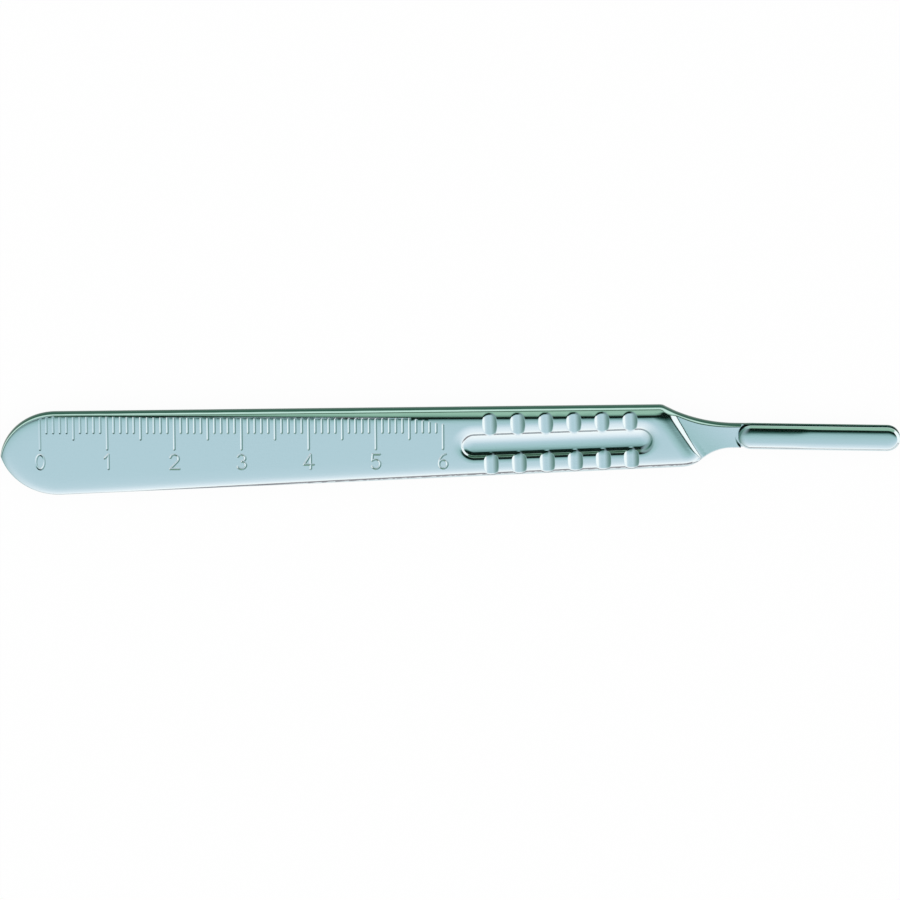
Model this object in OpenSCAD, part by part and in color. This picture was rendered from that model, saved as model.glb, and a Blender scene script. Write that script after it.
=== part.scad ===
// Scalpel handle, flat pattern for large blades, forged and ground from one piece of stainless steel.
// It lies flat with its scale up and its blade fitting towards +X.
// The origin is at the middle of its length and width, on the plane that its thickest part rests on.
// The modules draw in shop measures: x runs from the nose of the rear end, y from the line through
// the nose along the scale, z from the middle plane of the blank.

/* [Body] */
// Overall length, from the nose of the rear end to the tip of the tongue
total_l = 134; // [132:0.5:142]
// Length of the back edge, from the nose to the corner of the shoulder
back_l = 98.6; // [96:0.2:101]
// Thickness of the swelled part of the body, at the grip
body_t = 3; // [2.6:0.05:3.4]
// Thickness of the flat rear end and of the neck
web_t = 1.7; // [1.5:0.05:1.9]
// Height of the side walls between the bevels
wall_t = 1.74; // [1.6:0.02:2]
// Slope of the bevels along the edges, in degrees
bevel_angle = 37; // [30:1:50]
// Where the faces begin to swell, from the nose
swell_from = 14; // [8:0.5:20]
// Where the faces reach their full height, from the nose
swell_to = 90; // [70:0.5:95]

/* [Outline] */
// Radius of the rear end on the side of the back
back_end_r = 8.4; // [8:0.1:9]
// How far the centre of that arc lies below the nose line
back_end_drop = 1.2; // [0.6:0.1:1.8]
// Radius of the rear end on the side of the belly
belly_end_r = 9.1; // [8.6:0.1:9.8]
// How far the centre of that arc lies above the nose line
belly_end_rise = 2.6; // [2:0.1:3.2]
// Climb of the back edge towards the tongue, in degrees
back_taper = 0.27; // [0:0.05:0.6]
// Climb of the belly edge towards the tongue, in degrees
belly_taper = 2.5; // [2:0.1:3]

/* [Grip] */
// Start of the hollow of the grip, from the nose
hollow_x = 68.9; // [66:0.1:72]
// Length of the hollow
hollow_l = 28; // [27:0.2:29]
// Width of the hollow at the face
hollow_w = 4.5; // [4:0.1:5.6]
// Depth of the hollow
hollow_depth = 0.95; // [0.5:0.05:1]
// Steepness of the walls of the hollow, in degrees
hollow_wall = 50; // [40:1:60]
// Radius between the floor and the walls of the hollow
hollow_corner_r = 1.6; // [1:0.1:2]
// Climb of the hollow towards the tongue, in degrees
hollow_tilt = 1.9; // [1:0.1:2.5]
// Height of the middle of the hollow's start above the nose line
hollow_y = 1.7; // [1.2:0.1:2.2]
// Number of finger grooves across each face
groove_n = 6; // [4:1:6]
// Distance between finger grooves
groove_pitch = 4.18; // [3.6:0.02:4.4]
// Distance from the start of the hollow to the first groove
groove_start = 4.1; // [3:0.1:4.6]
// Width of a finger groove at the face
groove_w = 2.3; // [1.8:0.1:2.8]
// Depth of a finger groove
groove_depth = 0.41; // [0.25:0.02:0.6]

/* [Shoulder and neck] */
// Angle of the shoulder across the body, away from square, in degrees
shoulder_angle = 31; // [26:1:36]
// Slope of the shoulder facet, in degrees
facet_slope = 47; // [40:1:60]
// Distance from the corner of the back to the top of the shoulder facet
shoulder_gap = 0.2; // [0:0.1:1]
// Length of the hollow arc on the back side of the neck
neck_back_l = 10.7; // [9.5:0.1:12]
// Radius of the rounded corner where the belly ends
belly_corner_r = 4.6; // [4:0.1:5.2]
// Radius of the hollow arc on the belly side of the neck
neck_belly_r = 6.2; // [5:0.1:7]
// Where the rounded corner of the belly begins, from the nose
belly_l = 101.5; // [100.5:0.1:102.5]
// How far the front face of the neck drops by the end of the neck
neck_drop = 0.35; // [0.1:0.05:0.5]

/* [Blade fitting] */
// Width of the tongue
tongue_w = 3.95; // [3.6:0.05:4.2]
// Length of the tongue, from its rounded rear end to the tip
tongue_l = 24.1; // [22:0.1:25]
// Height of the middle of the tongue's rear end above the nose line
tongue_y = 2.5; // [2.2:0.1:2.8]
// Fall of the tongue towards its tip, in degrees
tongue_tilt = 1.4; // [0:0.1:2]
// Height of the top of the tongue above the middle plane
tongue_top = 1; // [0.9:0.05:1.2]
// Run of the steep bevel round the top of the tongue
lip_bevel_w = 0.26; // [0.15:0.01:0.35]
// Height of that bevel
lip_bevel_h = 0.45; // [0.3:0.05:0.5]
// Width of the crowned border inside that bevel
crown_w = 0.9; // [0.4:0.1:1.2]
// Fall of the crowned border towards the bevel
crown_drop = 0.1; // [0.05:0.01:0.2]
// Bevel round the underside of the tongue
foot_bevel = 0.35; // [0.2:0.05:0.5]
// Height of the slot in the sides of the tongue that holds the blade
slot_h = 0.45; // [0.42:0.01:0.5]
// Depth of that slot
slot_depth = 0.5; // [0.3:0.05:0.7]
// Height of the floor of the slot above the middle plane
slot_floor = -0.05; // [-0.2:0.05:0]
// Width of the trench round the rear end of the tongue
trench_w = 0.45; // [0.3:0.05:0.6]
// How much narrower the neck is than the tongue on each side
neck_inset = 0.1; // [0.05:0.01:0.15]

/* [Scale] */
// Where the zero mark stands, from the nose
scale_x = 5.9; // [5.5:0.1:7]
// Number of millimetre marks after zero
scale_n = 60; // [50:10:60]
// Height above the nose line at which a millimetre mark ends
mark_end = 4.2; // [3.6:0.1:4.8]
// Height at which a five millimetre mark ends
half_mark_end = 3.1; // [2.6:0.1:3.5]
// Height at which a centimetre mark ends
long_mark_end = 1.4; // [1:0.1:2]
// Gap between the marks and the bevel
mark_gap = 0.12; // [0.08:0.01:0.3]
// Width of a mark
mark_w = 0.24; // [0.16:0.02:0.3]
// Depth of a mark
mark_depth = 0.07; // [0.04:0.01:0.1]

/* [Hidden] */
$fn = 96;
// Reach of the cutting tools past the faces that they cut
over = 2;
half_body = body_t / 2;
half_web = web_t / 2;
swell = half_body - half_web;
swell_l = swell_to - swell_from;
// The front face swells in an arc, and the back face in a straight taper, so that it lies steady
front_steps = 12;
back_steps = 1;
swell_r = (swell_l * swell_l + swell * swell) / (2 * swell);
// The two end arcs both pass through the nose, and each edge leaves its arc as a tangent
back_end_x = sqrt(back_end_r * back_end_r - back_end_drop * back_end_drop);
belly_end_x = sqrt(belly_end_r * belly_end_r - belly_end_rise * belly_end_rise);
nose_way = asin(belly_end_rise / belly_end_r) - 180;
arc_step = 3;
// Facets of the corner between the floor and the walls of the hollow, and of the crown of the tongue
corner_steps = 6;
crown_steps = 4;
// Points along an arc between two angles, without some at its end or its start
function arc(centre, r, from, to, drop_last = 0, drop_first = 0) =
    let (n = ceil(abs(to - from) / arc_step))
    [for (i = [drop_first : n - drop_last])
        let (a = from + (to - from) * i / n)
        centre + r * [cos(a), sin(a)]];
// Angle of a direction
function way(v) = atan2(v[1], v[0]);
function back_y(x) = -back_end_drop + back_end_r / cos(back_taper) + (x - back_end_x) * tan(back_taper);
function belly_y(x) = belly_end_rise - belly_end_r / cos(belly_taper) + (x - belly_end_x) * tan(belly_taper);
function on_back(x) = x > back_end_x ? back_y(x)
    : -back_end_drop + sqrt(back_end_r * back_end_r - pow(back_end_x - x, 2));
// Height of the front face above the middle plane
function face_z(x) = x < swell_from ? half_web
    : x > swell_to ? half_body
    : half_body - swell_r + sqrt(swell_r * swell_r - pow(swell_to - x, 2));
function bevel_run(x) = max(0, (face_z(x) - wall_t / 2) / tan(bevel_angle));
corner = [back_l, back_y(back_l)];
// The tongue's own line starts at the rounded rear end of the tongue
tongue_x = total_l - tongue_l;
function along_tongue(d, side) = [
    tongue_x + d * cos(tongue_tilt) + side * sin(tongue_tilt),
    tongue_y - d * sin(tongue_tilt) + side * cos(tongue_tilt)
];
neck_side = tongue_w / 2 - neck_inset;
// The hollow on the back side is tangent to the neck and ends at the corner of the body
neck_back_start = corner[0] + neck_back_l - tongue_x;
neck_back_point = along_tongue(neck_back_start, neck_side);
neck_back_way = [sin(tongue_tilt), cos(tongue_tilt)];
neck_back_chord = corner - neck_back_point;
neck_back_r = (neck_back_chord * neck_back_chord) / (2 * (neck_back_chord * neck_back_way));
neck_back_centre = neck_back_point + neck_back_r * neck_back_way;
// The belly corner and the hollow after it are tangent to each other and to the edges beside them
belly_foot = [belly_l, belly_y(belly_l)];
belly_corner = belly_foot + belly_corner_r * [-sin(belly_taper), cos(belly_taper)];
hollow_side = -neck_side - neck_belly_r;
corner_way = belly_corner - along_tongue(0, 0);
corner_side = corner_way * neck_back_way;
corner_run = corner_way * [cos(tongue_tilt), -sin(tongue_tilt)];
blend_r = belly_corner_r + neck_belly_r;
neck_belly_run = corner_run + sqrt(blend_r * blend_r - pow(corner_side - hollow_side, 2));
neck_belly_centre = along_tongue(neck_belly_run, hollow_side);
neck_belly_point = along_tongue(neck_belly_run, -neck_side);
groove_r = (groove_w * groove_w / 4 + groove_depth * groove_depth) / (2 * groove_depth);
// The part's middle, for its own frame
belly_low = belly_end_rise - belly_end_r;
mid_y = (corner[1] + belly_low) / 2;

// Outline of everything but the tongue, seen from the front: from the nose along the back,
// round the neck and back along the belly
module plan() {
    polygon(concat(
        arc([back_end_x, -back_end_drop], back_end_r, 180 - asin(back_end_drop / back_end_r), 90 + back_taper),
        arc(neck_back_centre, neck_back_r, way(corner - neck_back_centre), -90 - tongue_tilt),
        [along_tongue(tongue_w / 2, neck_side), along_tongue(tongue_w / 2, -neck_side)],
        arc(neck_belly_centre, neck_belly_r, 90 - tongue_tilt, way(belly_corner - neck_belly_centre)),
        arc(belly_corner, belly_corner_r, way(neck_belly_centre - belly_corner), belly_taper - 90, 0, 1),
        arc([belly_end_x, belly_end_rise], belly_end_r, belly_taper - 90, nose_way, 1)
    ));
}

// Tool that grinds a face to its swell, from the flat rear end to the grip. One step is a straight
// taper, and more steps follow the arc.
module swell_tool(steps) {
    stations = [for (i = [0 : steps]) swell_from + swell_l * i / steps];
    rotate([90, 0, 0])
        linear_extrude(4 * belly_end_r, center = true)
            polygon(concat(
                [[-over, half_web]],
                [for (x = stations) [x, face_z(x)]],
                [[swell_to, body_t], [-over, body_t]]
            ));
}

// Tool for the bevel along one edge of the front face
module bevel_tool(start, taper, side) {
    translate([start[0], start[1], wall_t / 2])
        rotate([0, 0, taper])
            rotate([-side * bevel_angle, 0, 0])
                translate([-belly_end_r, side > 0 ? -over : -2 * over, 0])
                    cube([total_l, 3 * over, 2 * over]);
}

// Tool for the bevel round the belly corner, a cone
module corner_bevel_tool() {
    slope = tan(bevel_angle);
    from = way(belly_foot - belly_corner);
    rim_z = half_body + over / 10;
    translate([belly_corner[0], belly_corner[1], 0])
        rotate([0, 0, from])
            rotate_extrude(angle = way(neck_belly_centre - belly_corner) - from)
                polygon([
                    [belly_corner_r + over, wall_t / 2 - over * slope],
                    [belly_corner_r + over, rim_z],
                    [belly_corner_r - (rim_z - wall_t / 2) / slope, rim_z]
                ]);
}

// Tool that lowers the front face past the shoulder
module shoulder_tool() {
    run = swell / tan(facet_slope);
    translate([corner[0] + shoulder_gap, corner[1], 0])
        rotate([90, 0, shoulder_angle])
            linear_extrude(6 * belly_end_r, center = true)
                polygon([
                    [run, half_web],
                    [total_l, half_web],
                    [total_l, half_body + over],
                    [-run * over / swell, half_body + over]
                ]);
}

// Half of the section of the hollow of the grip: a flat floor, a rounded corner and a steep wall
module hollow_section() {
    floor_z = half_body - hollow_depth;
    rise = hollow_corner_r * (1 - cos(hollow_wall));
    top_w = hollow_w / 2 + over / tan(hollow_wall);
    corner_w = hollow_w / 2 - (hollow_depth - rise) / tan(hollow_wall);
    start_w = corner_w - hollow_corner_r * sin(hollow_wall);
    polygon(concat(
        [[0, floor_z]],
        [for (i = [0 : corner_steps])
            let (a = hollow_wall * i / corner_steps)
            [start_w + hollow_corner_r * sin(a), floor_z + hollow_corner_r * (1 - cos(a))]],
        [[top_w, half_body + over], [0, half_body + over]]
    ));
}

// Tool for the hollow of the grip, with round ends
module hollow_tool() {
    run = hollow_l - hollow_w;
    translate([hollow_w / 2, 0, 0]) {
        rotate_extrude()
            hollow_section();
        translate([run, 0, 0])
            rotate_extrude()
                hollow_section();
        rotate([90, 0, 90])
            linear_extrude(run) {
                hollow_section();
                mirror([1, 0])
                    hollow_section();
            }
    }
}

// Tool for one finger groove, which runs out through both edges
module groove_tool() {
    translate([0, 0, half_body - groove_depth + groove_r])
        rotate([90, 0, 0])
            cylinder(h = 4 * belly_end_r, r = groove_r, center = true);
}

// Everything that is cut into one face of the body
module face_tools(steps) {
    swell_tool(steps);
    bevel_tool([back_end_x, back_y(back_end_x)], back_taper, 1);
    bevel_tool([belly_end_x, belly_y(belly_end_x)], belly_taper, -1);
    corner_bevel_tool();
    shoulder_tool();
    translate([hollow_x, hollow_y, 0])
        rotate([0, 0, hollow_tilt]) {
            hollow_tool();
            for (i = [0 : groove_n - 1])
                translate([groove_start + i * groove_pitch, 0, 0])
                    groove_tool();
        }
}

// Sunk marks of the scale, on the front face only
module scale_tools() {
    for (i = [0 : scale_n]) {
        x = scale_x + i;
        end = i % 10 == 0 ? long_mark_end : i % 5 == 0 ? half_mark_end : mark_end;
        start = on_back(x) - bevel_run(x) - mark_gap;
        translate([x - mark_w / 2, end, face_z(x) - mark_depth])
            cube([mark_w, start - end, over]);
    }
}

// Ramp that lowers the front face of the neck, and the trench behind the tongue
module neck_tools() {
    ramp_from = corner[0] + neck_back_l / 2;
    rotate([90, 0, 0])
        linear_extrude(4 * belly_end_r, center = true)
            polygon([
                [ramp_from, half_web],
                [tongue_x, half_web - neck_drop],
                [total_l, half_web - neck_drop],
                [total_l, half_body],
                [ramp_from, half_body]
            ]);
    at = along_tongue(tongue_w / 2, 0);
    translate([at[0], at[1], slot_floor])
        cylinder(h = body_t, r = tongue_w / 2 + trench_w);
}

// One half of the tongue's section, with the slot for the blade in its side
module tongue_section() {
    w = tongue_w / 2;
    polygon(concat([
        [0, -half_web],
        [w - foot_bevel, -half_web],
        [w, -half_web + foot_bevel],
        [w, slot_floor],
        [w - slot_depth, slot_floor],
        [w - slot_depth, slot_floor + slot_h],
        [w, slot_floor + slot_h],
        [w, tongue_top - lip_bevel_h]
    ], [for (i = [crown_steps : -1 : 0])
        [w - lip_bevel_w - crown_w * (1 - i / crown_steps), tongue_top - crown_drop * pow(i / crown_steps, 2)]
    ], [[0, tongue_top]]));
}

// Tongue with both ends round, which the slot of the blade slides over
module tongue() {
    run = tongue_l - tongue_w;
    translate([tongue_x, tongue_y, 0])
        rotate([0, 0, -tongue_tilt])
            translate([tongue_w / 2, 0, 0]) {
                rotate_extrude()
                    tongue_section();
                translate([run, 0, 0])
                    rotate_extrude()
                        tongue_section();
                rotate([90, 0, 90])
                    linear_extrude(run) {
                        tongue_section();
                        mirror([1, 0])
                            tongue_section();
                    }
            }
}

module handle() {
    color("lightsteelblue")
        translate([-total_l / 2, -mid_y, half_body]) {
            difference() {
                translate([0, 0, -half_body])
                    linear_extrude(body_t)
                        plan();
                face_tools(front_steps);
                mirror([0, 0, 1])
                    face_tools(back_steps);
                scale_tools();
                neck_tools();
            }
            tongue();
        }
}

handle();
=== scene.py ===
"""Scalpel handle: the finished steel skin, its light and its camera.

Shop measures are in millimetres, as on the maker's drawing: x runs from the nose of the rear end towards the
blade fitting, y from the line through the nose, and z from the middle plane of the blank.
"""
import math

import bpy
import numpy as np
from mathutils import Matrix, Vector
from mathutils.geometry import delaunay_2d_cdt


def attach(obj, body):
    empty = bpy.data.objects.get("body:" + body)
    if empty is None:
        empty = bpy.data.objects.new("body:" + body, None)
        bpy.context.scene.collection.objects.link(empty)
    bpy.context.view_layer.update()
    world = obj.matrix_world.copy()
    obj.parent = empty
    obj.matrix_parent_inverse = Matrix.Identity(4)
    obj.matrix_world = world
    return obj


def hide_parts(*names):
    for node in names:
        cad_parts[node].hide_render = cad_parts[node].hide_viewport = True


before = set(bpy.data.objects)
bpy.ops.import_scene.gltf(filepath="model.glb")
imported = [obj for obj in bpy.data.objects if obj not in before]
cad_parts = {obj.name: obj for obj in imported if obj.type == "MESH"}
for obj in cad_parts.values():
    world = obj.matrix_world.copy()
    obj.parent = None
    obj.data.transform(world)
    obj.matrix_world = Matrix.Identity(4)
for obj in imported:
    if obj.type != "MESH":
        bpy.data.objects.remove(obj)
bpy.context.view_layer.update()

# Body. The web is the steel at its ends, and the wall is the upright part of its sides.
TOTAL_L = 134.0
BACK_L = 98.6
HALF_BODY = 1.5
HALF_WEB = 0.85
HALF_WALL = 0.7
BEVEL_SLOPE = math.tan(math.radians(37))
SWELL_FROM = 14.0
SWELL_TO = 90.0

# Outline
BACK_END_R = 8.4
BACK_END_DROP = 1.2
BELLY_END_R = 9.1
BELLY_END_RISE = 2.6
BACK_TAPER = math.radians(0.27)
BELLY_TAPER = math.radians(2.5)
BACK_CORNER_R = 1.3

# Grip
HOLLOW_X = 68.4
HOLLOW_L = 29.0
HOLLOW_W = 4.5
HOLLOW_Y = 1.7
HOLLOW_TILT = math.radians(1.9)
# Slopes of the two sides of the hollow, in degrees, each after its distance from the middle line
HOLLOW_LOW = ((0, 0), (1.25, 5.5), (1.33, 10), (1.8, 24), (1.83, 52), (1.97, 52), (2.0, 26), (2.33, 11),
              (2.4, 5.5), (3.05, 0))
HOLLOW_HIGH = ((0, 0), (0.8, 10), (1.3, 14), (1.55, 15), (1.65, 31), (1.88, 31), (1.98, 15), (2.4, 10.5),
               (2.85, 8.5), (3.66, 0))
GROOVE_N = 6
GROOVE_PITCH = 4.18
GROOVE_START = 4.6
GROOVE_R = 1.62
GROOVE_DEPTH = 0.46
# The grooves dip deeper where they cross the side of the hollow towards the belly
GROOVE_DIP = 0.13
DIP_START = 1.15
DIP_EASE = 0.3
DIP_END = 2.6
DIP_RUN = 1.3

# Shoulder and neck. The front of the neck slopes across by its lean, which changes along it.
SHOULDER_ANGLE = math.radians(31)
FACET_SLOPE = math.tan(math.radians(34))
FACET_TOP = 1.27
SHOULDER_GAP = 0.2
NECK_BACK_L = 10.7
BELLY_CORNER_R = 4.6
NECK_BELLY_R = 6.2
BELLY_L = 101.5
NECK_DROP = 0.35
NECK_LEAN = 0.05
NECK_LEAN_END = -0.03
NECK_LEAN_FROM = 1.0
NECK_LEAN_RUN = 8.0
NECK_EASE_FROM = 0.3
NECK_EASE_RUN = 0.5
PAST_FACET = 3.0

# Blade fitting
TONGUE_HALF = 1.975
TONGUE_L = 24.1
TONGUE_Y = 2.5
TONGUE_TILT = math.radians(1.4)
TONGUE_TOP = 1.0
LIP_RUN = 0.29
LIP_FOOT = 0.55
LIP_R = 0.035
FOOT_BEVEL = 0.35
FOOT_FROM = 1.0
FOOT_RUN = 1.4
FOOT_BLEND = 0.06
SLOT_FLOOR = -0.05
SLOT_TOP = 0.4
SLOT_DEPTH = 0.5
TRENCH_W = 0.45
NECK_INSET = 0.1
WIDENS_FROM = 1.2
WIDENS_RUN = 1.1

# Scale
SCALE_X = 5.96
MARKS = 60
MARK_END = 4.2
HALF_MARK_END = 3.1
LONG_MARK_END = 1.4
MARK_GAP = 0.12
MARK_INSET = 0.25
MARK_HALF = 0.2
MARK_DEPTH = 0.105
# Each mark after this one starts lower than the one before by the drop
LATE_MARK = 55
LATE_DROP = 0.19
DIGIT_TOP = 0.51
DIGIT_H = 2.45
DIGIT_W = 1.4
DIGIT_HALF = 0.19
DIGIT_DEPTH = 0.1
# Share of its depth that the worn zero end of the scale keeps, and the length over which the wear fades
WORN_SHARE = 0.6
WORN_L = 25.0

# Softening of edges. A crown is the slopes of a face at its bevel, each with the width over which it fades.
WALL_ROUND = 2.4
EDGE_CUT = 0.15
BEVEL_BLEND = 0.2
NOSE_BLEND = 0.5
GROOVE_BLEND = 0.07
FACET_BLEND = 0.06
BACK_CROWN = ((0.035, 3.4), (0.12, 1.15))
BELLY_CROWN = ((0.05, 3.4), (0.19, 1.3))
CROWN_LIMIT = 1.3
# The crown of the tongue has its ridge beside the middle line, towards the belly. Its border falls
# by the edge, with a power that grows from the rear to the tip.
TONGUE_CROWN = 0.12
TONGUE_RIDGE = -0.55
TONGUE_EDGE = 0.11
REAR_POWER = 5
TIP_POWER = 12
POWER_FROM = 8.5
POWER_RUN = 2.5
# Before the shoulder the face falls in a curve from the reach to the flat, and then straight with the lean,
# at some distance from the middle line of the hollow
SHOULDER_REACH = 2.0
SHOULDER_FLAT = 0.6
SHOULDER_LEAN = 0.215
SHOULDER_CLEAR = 2.6
SHOULDER_EDGE = 0.08

# Mesh: spacing of the close grids at the scale and at bends, the least bend that gets one, rows of points on
# the walls and their edges, and the least distance of other points from the rim of a face
FINE = 0.055
BEND_STEP = 0.115
BEND_LIMIT = 0.8
WALL_ROWS = 5
EDGE_ROWS = 5
RIM_MARGIN = 0.035
# Where the points of a run go that are left out, far from the handle
NOWHERE = (1e4, 0)

HALF_L = TOTAL_L / 2


def turn(angle):
    """Unit vector at an angle."""
    return np.array([math.cos(angle), math.sin(angle)])


# Derived places, worked out as on the drawing
back_end_x = math.sqrt(BACK_END_R ** 2 - BACK_END_DROP ** 2)
belly_end_x = math.sqrt(BELLY_END_R ** 2 - BELLY_END_RISE ** 2)
back_end_c = np.array([back_end_x, -BACK_END_DROP])
belly_end_c = np.array([belly_end_x, BELLY_END_RISE])


def back_y(x):
    """Height of the straight back edge above the nose line."""
    return -BACK_END_DROP + BACK_END_R / math.cos(BACK_TAPER) + (x - back_end_x) * math.tan(BACK_TAPER)


def belly_y(x):
    """Height of the straight belly edge above the nose line."""
    return BELLY_END_RISE - BELLY_END_R / math.cos(BELLY_TAPER) + (x - belly_end_x) * math.tan(BELLY_TAPER)


corner = np.array([BACK_L, back_y(BACK_L)])
mid_y = (corner[1] + BELLY_END_RISE - BELLY_END_R) / 2
tongue_x = TOTAL_L - TONGUE_L
tongue_rear = np.array([tongue_x, TONGUE_Y])
tongue_way = np.array([math.cos(TONGUE_TILT), -math.sin(TONGUE_TILT)])
tongue_side = np.array([math.sin(TONGUE_TILT), math.cos(TONGUE_TILT)])
neck_half = TONGUE_HALF - NECK_INSET
trench_r = TONGUE_HALF + TRENCH_W


def along_tongue(d, side):
    """Point at a distance along the tongue from its rear end, and to one side of its middle line."""
    return tongue_rear + d * tongue_way + side * tongue_side


neck_back_point = along_tongue(corner[0] + NECK_BACK_L - tongue_x, neck_half)
chord = corner - neck_back_point
neck_back_r = chord @ chord / (2 * chord @ tongue_side)
neck_back_c = neck_back_point + neck_back_r * tongue_side
belly_foot = np.array([BELLY_L, belly_y(BELLY_L)])
belly_way = turn(BELLY_TAPER)
belly_corner_c = belly_foot + BELLY_CORNER_R * np.array([-belly_way[1], belly_way[0]])
run_side = (belly_corner_c - tongue_rear) @ tongue_side + neck_half + NECK_BELLY_R
neck_belly_run = (belly_corner_c - tongue_rear) @ tongue_way + math.sqrt(
    (BELLY_CORNER_R + NECK_BELLY_R) ** 2 - run_side ** 2)
neck_belly_c = along_tongue(neck_belly_run, -neck_half - NECK_BELLY_R)
trench_middle = TONGUE_HALF
jump_d = trench_middle - math.sqrt(trench_r ** 2 - neck_half ** 2)


def smooth_step(t):
    """Share from 0 to 1 that starts and ends gently."""
    t = np.clip(t, 0, 1)
    return t * t * (3 - 2 * t)


def soft_min(a, b, blend):
    """Lower of two heights, with the edge between them rounded over the blend."""
    h = np.maximum(blend - np.abs(a - b), 0) / blend
    return np.minimum(a, b) - h * h * blend / 4


def soft_max(a, b, blend):
    """Higher of two heights, with the corner between them rounded over the blend."""
    return -soft_min(-a, -b, blend)


def arc(centre, r, start, end, step):
    """Points along an arc, both ends included. Angles are in radians."""
    n = max(2, math.ceil(abs(end - start) * r / step), math.ceil(abs(end - start) / math.radians(4)))
    return [np.asarray(centre) + r * turn(start + (end - start) * i / n) for i in range(n + 1)]


def line(a, b, step):
    """Points along a straight line, both ends included."""
    n = max(1, math.ceil(np.linalg.norm(np.subtract(b, a)) / step))
    return [np.asarray(a) + (np.asarray(b) - np.asarray(a)) * i / n for i in range(n + 1)]


def way(v):
    """Angle of a direction."""
    return math.atan2(v[1], v[0])


def tongue_edge(side, d_from, d_to):
    """One long side of the tongue, which widens smoothly from the neck's width."""
    points = []
    for d in np.linspace(d_from, d_to, 40):
        grow = smooth_step((d - WIDENS_FROM) / WIDENS_RUN)
        points.append(along_tongue(d, side * (neck_half + NECK_INSET * grow)))
    return points


def rounded_corner(before, after):
    """Replaces the meeting point of two runs of points by a small arc."""
    at = before[-1]
    cut = BACK_CORNER_R * 0.35
    a = [p for p in before if np.linalg.norm(p - at) > cut * 1.3]
    b = [p for p in after if np.linalg.norm(p - at) > cut * 1.3]
    dir_a = (before[-2] - at) / np.linalg.norm(before[-2] - at)
    dir_b = (after[1] - at) / np.linalg.norm(after[1] - at)
    start, end = at + dir_a * cut, at + dir_b * cut
    bend = [(1 - t) ** 2 * start + 2 * t * (1 - t) * at + t * t * end for t in np.linspace(0, 1, 7)]
    return a + bend + b


def outline():
    """The plan of the whole handle, from the nose along the back, round the tip and back along the belly.

    Returns the points, and the places in the list where the trench behind the tongue starts and ends."""
    nose_back = arc(back_end_c, BACK_END_R, math.pi - math.asin(BACK_END_DROP / BACK_END_R),
                    math.pi / 2 + BACK_TAPER, 0.35)
    back = line(nose_back[-1], corner, 1.0)
    neck_back = arc(neck_back_c, neck_back_r, way(corner - neck_back_c), -math.pi / 2 - TONGUE_TILT, 0.4)
    upper = rounded_corner(nose_back + back[1:], neck_back)
    tip_d = TONGUE_L - TONGUE_HALF
    side_back = tongue_edge(1, jump_d, tip_d)
    tip = arc(along_tongue(tip_d, 0), TONGUE_HALF, math.pi / 2 - TONGUE_TILT,
              -math.pi / 2 - TONGUE_TILT, 0.25)
    side_belly = tongue_edge(-1, tip_d, jump_d)
    neck_belly = arc(neck_belly_c, NECK_BELLY_R, math.pi / 2 - TONGUE_TILT,
                     way(belly_corner_c - neck_belly_c), 0.35)
    round_belly = arc(belly_corner_c, BELLY_CORNER_R, way(neck_belly_c - belly_corner_c),
                      BELLY_TAPER - math.pi / 2, 0.35)
    nose_start = np.array([belly_end_x, BELLY_END_RISE]) + BELLY_END_R * turn(BELLY_TAPER - math.pi / 2)
    belly = line(round_belly[-1], nose_start, 1.0)
    nose_belly = arc(belly_end_c, BELLY_END_R, BELLY_TAPER - math.pi / 2,
                     math.asin(BELLY_END_RISE / BELLY_END_R) - math.pi, 0.35)
    run = upper + side_back
    start = len(upper)
    run += tip[1:] + side_belly[1:]
    end = len(run) - 1
    run += neck_belly + round_belly[1:] + belly[1:] + nose_belly[1:-1]
    return np.array(run), start, end


def side_distance(x, y):
    """Distance into the body from its back edge and from its belly edge."""
    back = np.where(x < back_end_x, BACK_END_R - np.hypot(x - back_end_c[0], y - back_end_c[1]),
                    (back_y(0) + x * math.tan(BACK_TAPER) - y) * math.cos(BACK_TAPER))
    along = (x - belly_end_c[0]) * belly_way[0] + (y - belly_end_c[1]) * belly_way[1]
    straight = -((x - belly_end_c[0]) * belly_way[1] - (y - belly_end_c[1]) * belly_way[0]) + BELLY_END_R
    belly = np.where(along < 0, BELLY_END_R - np.hypot(x - belly_end_c[0], y - belly_end_c[1]), straight)
    past = (x - belly_corner_c[0]) * belly_way[0] + (y - belly_corner_c[1]) * belly_way[1]
    from_corner = np.hypot(x - belly_corner_c[0], y - belly_corner_c[1])
    belly = np.where(past > 0, BELLY_CORNER_R - from_corner, belly)
    end_way = (neck_belly_c - belly_corner_c) / np.linalg.norm(neck_belly_c - belly_corner_c)
    beyond = (y - belly_corner_c[1]) * end_way[0] - (x - belly_corner_c[0]) * end_way[1]
    # Past its rounded corner the belly edge ends, so the distance grows fast and the bevel runs out
    belly = np.where((past > 0) & (beyond > 0), np.maximum(belly, 0.2) + 4 * beyond, belly)
    return back, belly


def swelled(x, front):
    """Height of a face above the middle plane: the front swells in an arc, the back in a straight taper."""
    rise = HALF_BODY - HALF_WEB
    t = np.clip((x - SWELL_FROM) / (SWELL_TO - SWELL_FROM), 0, 1)
    return HALF_WEB + rise * (t * (2 - t) if front else t)


def hollow_frame(x, y):
    """Place along and across the hollow of the grip, measured from its start."""
    dx, dy = x - HOLLOW_X, y - HOLLOW_Y
    c, s = math.cos(HOLLOW_TILT), math.sin(HOLLOW_TILT)
    return dx * c + dy * s, -dx * s + dy * c


def hollow_reach(x, y):
    """Distance from the middle line of the hollow, which has round ends."""
    u, v = hollow_frame(x, y)
    half = HOLLOW_W / 2
    past = np.maximum(half - u, 0) + np.maximum(u - (HOLLOW_L - half), 0)
    return np.hypot(past, v)


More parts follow.
